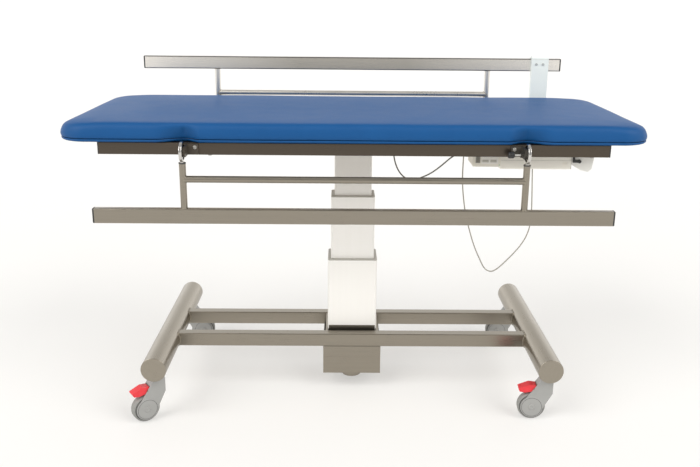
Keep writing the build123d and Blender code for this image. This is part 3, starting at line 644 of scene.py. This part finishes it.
for inset, height in side_profile:
    rings.append([cover.verts.new(pad_point(spot, out, inset, height))
                  for spot, out in pad_outline(inset, around)])
for lower, upper in zip(rings, rings[1:]):
    for step in range(around):
        after = (step + 1) % around
        cover.faces.new((lower[step], lower[after], upper[after], upper[step]))
cover.faces.new(rings[-1])
inner_floor = [cover.verts.new(v.co + Vector((0, 0, floor_thick))) for v in rings[0]]
for step in range(around):
    after = (step + 1) % around
    cover.faces.new((inner_floor[step], inner_floor[after], rings[0][after], rings[0][step]))
cover.faces.new(inner_floor)
bmesh.ops.recalc_face_normals(cover, faces=cover.faces)
cover_mesh = bpy.data.meshes.new("mattress_cover")
cover.to_mesh(cover_mesh)
cover.free()


def blue_vinyl(place):
    pebble = place.node("ShaderNodeTexVoronoi", {"feature": "DISTANCE_TO_EDGE"},
                        {"Vector": place, "Scale": 620.0})
    leather = place.math("MINIMUM", pebble * 6.0, 1.0)
    soft = place.cloud(14.0, detail=4.0)
    handled = place.cloud(3.0, detail=2.0)
    # The line along the seam is painted near-black: painted shade in the seam's groove.
    from_seam = place.math("ABSOLUTE", place.coordinate("Z") - (pad_base + seam_height))
    seam = 1.0 - from_seam.over(0.0011, 0.0009)
    hide = (soft * 0.6 + handled * 0.4).mixed((0.0010, 0.060, 0.200), (0.0022, 0.079, 0.250))
    colour = seam.mixed(hide, (0.001, 0.012, 0.045))
    roughness = handled * 0.10 + soft * 0.08 + 0.42
    return colour, roughness, leather * 0.00005 + soft * 0.0006


vinyl = make_finish("blue_vinyl", blue_vinyl, Specular_IOR_Level=0.26)
mattress_cover = place_mesh("mattress_cover", cover_mesh, vinyl, "bed")
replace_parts(mattress_cover, "mattress")

stitch_gap = 0.0055
stitch_long = 0.0036
stitch_inset = 0.0036
stitch_height = seam_height + 0.0018
stitch_arch = 0.0006
thread_radius = 0.00055
stitch_paths = []
stitch_count = int(2 * (2 * pad_half_x + 2 * pad_half_y) / stitch_gap)
for spot, out in pad_outline(stitch_inset, stitch_count):
    middle = pad_point(spot, out, stitch_inset, stitch_height)
    run = Vector((-out.y, out.x, 0)) * stitch_long / 2
    lift = Vector((out.x, out.y, 0)) * stitch_arch
    stitch_paths.append([middle - run, middle + lift, middle + run])
thread = make_finish("blue_thread", lambda place: (
    place.cloud(2500.0).mixed((0.010, 0.060, 0.210), (0.020, 0.095, 0.300)),
    place.cloud(900.0) * 0.2 + 0.6, place.cloud(2500.0) * 0.0002))
place_mesh("seam_stitches", curve_mesh("seam_stitches", stitch_paths, thread_radius, False),
           thread, "bed")


def plywood(place):
    grain = place.stretched((6.0, 90.0, 90.0)).cloud(1.0, detail=4.0)
    colour = grain.mixed((0.40, 0.29, 0.18), (0.58, 0.44, 0.29))
    return colour, grain * 0.2 + 0.5, grain * 0.0003


dress(make_finish("birch_plywood", plywood), "mattress_board")


# ---- side rails and hinges -----------------------------------------------------------------
# Each rail is a flat-sided top tube on two round posts with a thin bar between them. The posts
# end in polished discs that turn on pins in dark cast brackets screwed to the bed frame.

def polished_steel(place):
    turned = place.cloud(500.0, detail=2.0)
    marks = place.cloud(70.0, detail=3.0)
    colour = marks.mixed((0.56, 0.545, 0.52), (0.68, 0.665, 0.64))
    return colour, turned * 0.06 + marks * 0.08 + 0.08, turned * 0.00002


def dark_cast(place):
    grit = place.cloud(650.0, detail=4.0)
    stain = place.cloud(60.0)
    far_end = place.coordinate("X").over(0.0, 0.1)
    colour = far_end.mixed(stain.mixed((0.080, 0.067, 0.052), (0.110, 0.092, 0.072)),
                           stain.mixed((0.060, 0.054, 0.046), (0.105, 0.096, 0.082)))
    return colour, grit * 0.2 + 0.34, grit * 0.00012


def screw_zinc(place):
    tarnish = place.cloud(200.0, detail=3.0)
    return tarnish.mixed((0.30, 0.29, 0.27), (0.48, 0.47, 0.44)), tarnish * 0.25 + 0.2, None


polished = make_finish("polished_steel", polished_steel, Metallic=1.0)
dress(polished, "hinge_pins", "front_rail_hinge_discs", "rear_rail_hinge_discs")
dress(make_finish("dark_cast", dark_cast, Metallic=0.6), "hinge_brackets")
dress(make_finish("screw_zinc", screw_zinc, Metallic=1.0), "frame_screws")


def painted_reflection_rail(place):
    """Steel painted lighter than the front rail's and lightest towards the ends, as painted
    reflection; its rounded corners are painted darker, as painted shade, and are rougher.
    """
    low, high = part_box("rear_rail_top_tube")
    ends = place.math("ABSOLUTE", place.coordinate("X")).over(0.52, 0.60)
    from_middle = place.math("ABSOLUTE", place.coordinate("Z") - (low.z + high.z) / 2)
    corners = from_middle.over((high.z - low.z) / 2 - 0.0030, 0.0015)
    scratches = place.stretched((7.0, 900.0, 900.0)).cloud(1.0, detail=3.0)
    bright = ends.mixed((0.50, 0.47, 0.41), (0.93, 0.89, 0.83))
    colour = corners.mixed((scratches * 0.06).mixed(bright, (0.30, 0.28, 0.24)),
                           (0.13, 0.12, 0.11))
    return colour, scratches * 0.08 + corners * 0.10 + 0.22, scratches * 0.00002


# The rear rail's tube and bars are much lighter than the front rail's steel: painted reflection of
# the bright room behind the table.
dress(make_finish("painted_reflection_rail", painted_reflection_rail, Metallic=1.0), "rear_rail_top_tube")
dress(make_finish("painted_reflection_steel_upright", satin_steel(2, (0.80, 0.77, 0.71)), Metallic=1.0),
      "rear_rail_bars")

post_radius = 0.011
bar_radius = 0.011
pivot_to_tube = 0.187
pivot_to_bar = 0.090
pivot_to_collar = 0.0352
collar_profile = [(0.0, 0.0095), (0.0, 0.0118), (0.0035, 0.0118), (0.0040, 0.0111)]
ring_steps = 40
post_ring_squeeze = 0.98
rail_weld_radius = 0.0014
dress(steel_x, "front_rail_top_tube", "front_rail_bars")
for rail in ("front_rail", "rear_rail"):
    dress(black_plug, f"{rail}_end_plugs")
    top_low, top_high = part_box(f"{rail}_top_tube")
    disc_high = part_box(f"{rail}_hinge_discs")[1]
    rail_y = (top_low.y + top_high.y) / 2
    raised = top_low.z > disc_high.z
    meeting_z = top_low.z if raised else top_high.z
    upward = 1 if raised else -1
    pivot_z = meeting_z - upward * pivot_to_tube
    bar_z = pivot_z + upward * pivot_to_bar
    weld_paths = []
    for end in (-1, 1):
        post_ring = []
        bar_ring = []
        for step in range(ring_steps):
            angle = 2 * math.pi * step / ring_steps
            post_ring.append((end * rail_post_x + post_radius * math.cos(angle),
                              rail_y + post_radius * math.sin(angle) * post_ring_squeeze,
                              meeting_z))
            y = bar_radius * math.cos(angle)
            inward = math.sqrt(post_radius ** 2 - y ** 2)
            bar_ring.append((end * (rail_post_x - inward), rail_y + y,
                             bar_z + bar_radius * math.sin(angle)))
        weld_paths.extend([post_ring, bar_ring])
        # The collar where each post meets its disc is near-black: painted shade at the post's end.
        lathe(f"{rail}_post_collar_{'left' if end < 0 else 'right'}",
              (end * rail_post_x, rail_y, pivot_z + upward * pivot_to_collar), (0, 0, upward),
              collar_profile, dark_line, rail)
    welds = curve_mesh(f"{rail}_welds", weld_paths, rail_weld_radius, True, ripple=0.1)
    place_mesh(f"{rail}_welds", welds, weld_bead, rail)


# ---- rail locks ----------------------------------------------------------------------------
# A sprung steel pin with a moulded black knob, in the right-hand bracket of each rail. It is
# pulled out to free the hinge disc before the rail is folded.

def knob_and_pin(place):
    """Black up to the end of the knob, then bright steel along the pin."""
    knob_long = 0.0201
    pin = place.coordinate("X").over(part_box("front_lock")[0].x + knob_long, 0.0004)
    grain = place.cloud(800.0, detail=3.0)
    colour = pin.mixed(grain.mixed((0.014, 0.014, 0.014), (0.03, 0.03, 0.03)),
                       grain.mixed((0.50, 0.49, 0.46), (0.66, 0.64, 0.60)))
    return colour, grain * 0.15 + 0.28, grain * 0.00004


dress(make_finish("knob_and_pin", knob_and_pin), "front_lock", "rear_lock")


# ---- control unit and battery --------------------------------------------------------------
# Cream moulded housings under the right-hand end of the bed: a control box with its sockets
# and rating plate, and a slide-off battery held by a cradle and a small hook latch.

def cream_plastic(tone):
    def paint(place):
        grain = place.cloud(1100.0, detail=3.0)
        flow = place.cloud(18.0, detail=2.0)
        colour = flow.mixed(tuple(part * 0.96 for part in tone), tone)
        return colour, grain * 0.14 + flow * 0.06 + 0.36, grain * 0.00005
    return paint


def rating_plate(place):
    flow = place.cloud(60.0)
    return flow.mixed((0.86, 0.84, 0.79), (0.92, 0.90, 0.85)), flow * 0.15 + 0.4, None


cream = make_finish("cream_plastic", cream_plastic((0.93, 0.90, 0.82)), Coat_Weight=0.1)
pale_grey = make_finish("pale_grey_plastic", cream_plastic((0.84, 0.83, 0.79)))
plate_finish = make_finish("rating_plate", rating_plate)
socket_grey = make_finish("socket_grey", cream_plastic((0.24, 0.225, 0.19)))
dress(cream, "battery")
dress(make_finish("taupe_plastic", cream_plastic((0.90, 0.86, 0.76))), "control_unit")
dress(pale_grey, "battery_cradle")
dress(black_plug, "battery_latch")

print_grey = make_finish("print_grey", lambda place: (
    place.cloud(300.0).mixed((0.52, 0.50, 0.44), (0.62, 0.60, 0.53)),
    place.cloud(500.0) * 0.1 + 0.4, None))
unit_low, unit_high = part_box("control_unit")
face_y = unit_low.y
proud = 0.0008
moulded_plate("control_socket_frame", (unit_low.x + 0.010, face_y - proud, unit_low.z + 0.012),
              (unit_low.x + 0.026, face_y + 0.001, unit_high.z - 0.008), 0.0006, guide, "bed")
moulded_plate("control_socket", (unit_low.x + 0.012, face_y - 0.0014, unit_low.z + 0.014),
              (unit_low.x + 0.024, face_y, unit_high.z - 0.010), 0.0005, socket_grey, "bed")
moulded_plate("control_rating_plate",
              (unit_low.x + 0.030, face_y - proud, unit_low.z + 0.010),
              (unit_high.x - 0.008, face_y + 0.001, unit_high.z - 0.010), 0.0003, plate_finish,
              "bed")
field_pitch = 0.027
field_long = 0.021
for count in range(2):
    left = unit_low.x + 0.033 + count * field_pitch
    moulded_plate(f"control_plate_field_{count + 1}",
                  (left, face_y - 0.0013, unit_low.z + 0.015),
                  (left + field_long, face_y, unit_low.z + 0.024), 0.0002, print_grey, "bed")
moulded_plate("control_lid_seam", (unit_low.x + 0.0005, face_y - 0.0004, unit_high.z - 0.0065),
              (unit_high.x - 0.0005, face_y + 0.0005, unit_high.z - 0.0055), 0.0002, dark_line,
              "bed")
power_lamp = make_finish("power_lamp", lambda place: (
    place.cloud(300.0).mixed((0.05, 0.45, 0.10), (0.08, 0.60, 0.14)),
    place.cloud(400.0) * 0.1 + 0.15, None))
lathe("control_power_lamp", (unit_high.x - 0.004, face_y, unit_low.z + 0.006), (0, -1, 0),
      [(-0.001, 0.0014), (0.0006, 0.0014), (0.0011, 0.0009), (0.0012, 0.0002)], power_lamp,
      "bed", steps=16)

pack_low, pack_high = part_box("battery")
moulded_plate("battery_case_seam", (pack_low.x + 0.001, pack_low.y - 0.0004, pack_low.z + 0.030),
              (pack_high.x - 0.001, pack_low.y + 0.0005, pack_low.z + 0.0308), 0.0002, guide,
              "bed")
rib_pitch = 0.004
rib_thick = 0.0016
for count in range(5):
    left = pack_high.x - 0.030 + count * rib_pitch
    moulded_plate(f"battery_grip_rib_{count + 1}",
                  (left, pack_low.y - 0.0010, pack_low.z + 0.010),
                  (left + rib_thick, pack_low.y + 0.001, pack_low.z + 0.026), 0.0004, cream, "bed")
moulded_plate("battery_end_seam", (pack_high.x - 0.0005, pack_low.y - 0.0005, pack_low.z + 0.002),
              (pack_high.x + 0.0007, pack_low.y + 0.0008, pack_high.z), 0.0002, guide, "bed")


# ---- handset -------------------------------------------------------------------------------
# A two-button hand control, moulded in pale grey plastic with rubber buttons. Its hook hangs
# over the rear rail and it travels with that rail.

handset_plastic = make_finish("handset_plastic", cream_plastic((0.82, 0.86, 0.825)))
button_rubber = make_finish("button_rubber", lambda place: (
    place.cloud(500.0).mixed((0.40, 0.42, 0.41), (0.50, 0.52, 0.51)),
    place.cloud(700.0) * 0.15 + 0.5, place.cloud(900.0) * 0.0001))
dress(handset_plastic, "handset")
dress(button_rubber, "handset_button_down", "handset_button_up")
hand_low, hand_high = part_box("handset")
moulded_plate("handset_hook_seam", (hand_low.x + 0.001, hand_low.y - 0.0004, hand_high.z - 0.0150),
              (hand_high.x - 0.001, hand_low.y + 0.0006, hand_high.z - 0.0142), 0.0002,
              print_grey, "rear_rail")


# ---- cables --------------------------------------------------------------------------------
# Round PVC cables: one from the column to the control box, and the hand control's lead, which
# hangs in a long loop under the bed and rises behind the mattress. Each end has a boot.

cable_diameter = 0.005


def pvc(pale, deep):
    def paint(place):
        sheen = place.cloud(160.0, detail=2.0)
        return sheen.mixed(deep, pale), sheen * 0.15 + 0.35, sheen * 0.00008
    return paint


def lay_cable(name, route, body, finish, node):
    """A round cable whose line is a smooth spline on the route's points."""
    curve = bpy.data.curves.new(f"{name}_line", "CURVE")
    curve.dimensions = "3D"
    curve.resolution_u = 10
    spline = curve.splines.new("NURBS")
    spline.points.add(len(route) - 1)
    for point, spot in zip(spline.points, route):
        point.co = (*spot, 1.0)
    spline.order_u = 3
    spline.use_endpoint_u = True
    line = bpy.data.objects.new(f"{name}_line", curve)
    bpy.context.scene.collection.objects.link(line)
    bpy.context.view_layer.update()
    bare = bpy.data.meshes.new_from_object(line)
    bpy.data.meshes.remove(bare)
    curve.bevel_depth = cable_diameter / 2
    curve.bevel_resolution = 4
    curve.use_fill_caps = True
    bpy.context.view_layer.update()
    mesh = bpy.data.meshes.new_from_object(line)
    mesh.name = name
    bpy.data.objects.remove(line)
    piece = place_mesh(name, mesh, finish, body)
    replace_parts(piece, node)
    return piece


def boot(name, spot, axis, length, wide, body):
    """A tapered strain relief with grooves, its wide end at the spot."""
    grooves = 5
    groove_share = 0.84
    profile = [(0.0, wide)]
    for count in range(grooves):
        share = (count + 1) / (grooves + 1)
        radius = wide + (cable_diameter / 2 + 0.0006 - wide) * share
        groove = radius * groove_share
        along = length * share
        profile.extend([(along - 0.0012, radius), (along - 0.0006, groove),
                        (along + 0.0006, groove), (along + 0.0012, radius * 0.97)])
    profile.append((length, cable_diameter / 2 + 0.0004))
    return lathe(name, spot, axis, profile, boot_rubber, body, steps=28)


pale_pvc = make_finish("pale_pvc", pvc((0.42, 0.40, 0.35), (0.33, 0.315, 0.28)))
grey_pvc = make_finish("grey_pvc", pvc((0.20, 0.20, 0.19), (0.13, 0.13, 0.12)))
boot_rubber = make_finish("boot_rubber", pvc((0.26, 0.26, 0.24), (0.20, 0.20, 0.185)))
dress(guide, "cable_fittings", "cable_clips")

column_cable_route = [
    (0.145, -0.085, 0.938), (0.145, -0.085, 0.916), (0.150, -0.093, 0.888),
    (0.163, -0.108, 0.858), (0.184, -0.130, 0.839), (0.211, -0.152, 0.836),
    (0.240, -0.175, 0.851), (0.272, -0.200, 0.873), (0.304, -0.226, 0.906),
    (0.334, -0.251, 0.942), (0.357, -0.262, 0.954), (0.383, -0.262, 0.954),
]
loop_cable_route = [
    (0.383, -0.232, 0.945), (0.361, -0.232, 0.945), (0.340, -0.216, 0.945),
    (0.333, -0.184, 0.944), (0.342, -0.136, 0.940), (0.357, -0.085, 0.934),
    (0.373, -0.033, 0.930), (0.389, 0.020, 0.929), (0.405, 0.070, 0.933),
    (0.420, 0.106, 0.943), (0.434, 0.138, 0.954), (0.441, 0.186, 0.957),
    (0.446, 0.208, 0.941), (0.447, 0.217, 0.912), (0.445, 0.216, 0.866),
    (0.443, 0.212, 0.814), (0.443, 0.209, 0.758), (0.448, 0.208, 0.702),
    (0.456, 0.207, 0.648), (0.467, 0.208, 0.596), (0.482, 0.208, 0.546),
    (0.498, 0.209, 0.496), (0.514, 0.210, 0.456), (0.530, 0.211, 0.424),
    (0.545, 0.211, 0.392), (0.562, 0.212, 0.372), (0.585, 0.214, 0.366),
    (0.608, 0.218, 0.378), (0.636, 0.225, 0.402), (0.668, 0.236, 0.431),
    (0.701, 0.251, 0.463), (0.729, 0.268, 0.498), (0.747, 0.286, 0.539),
    (0.755, 0.306, 0.586), (0.758, 0.327, 0.638), (0.759, 0.346, 0.695),
    (0.759, 0.361, 0.755), (0.758, 0.371, 0.812), (0.757, 0.377, 0.867),
    (0.7565, 0.3795, 0.913), (0.757, 0.379, 0.943), (0.757, 0.379, 0.970),
]
handset_cable_route = [
    (0.757, 0.379, 0.970), (0.757, 0.379, 0.984), (0.7585, 0.386, 0.997),
    (0.762, 0.395, 1.010), (0.7645, 0.398, 1.022), (0.765, 0.397, 1.034),
    (0.765, 0.397, 1.046),
]
gland_boot = boot("column_cable_gland_boot", (0.145, -0.085, 0.940), (0, 0, -1), 0.020, 0.0058,
                  "bed")
column_plug_boot = boot("column_cable_plug_boot", (0.385, -0.262, 0.954), (-1, 0, 0), 0.022,
                        0.0052, "bed")
lay_cable("column_cable_run", column_cable_route, "bed", grey_pvc,
          "column_cable")
loop_plug_boot = boot("loop_cable_plug_boot", (0.385, -0.232, 0.945), (-1, 0, 0), 0.020, 0.0052,
                      "bed")
loop_run = lay_cable("loop_cable_run", loop_cable_route, "bed", pale_pvc,
                     "loop_cable")
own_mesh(loop_run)
handset_boot = boot("handset_cable_boot", (0.765, 0.397, 1.048), (0, 0, -1), 0.020, 0.0060,
                    "rear_rail")
handset_run = lay_cable("handset_cable_run", handset_cable_route, None, pale_pvc,
                        "handset_cable")
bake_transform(handset_run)
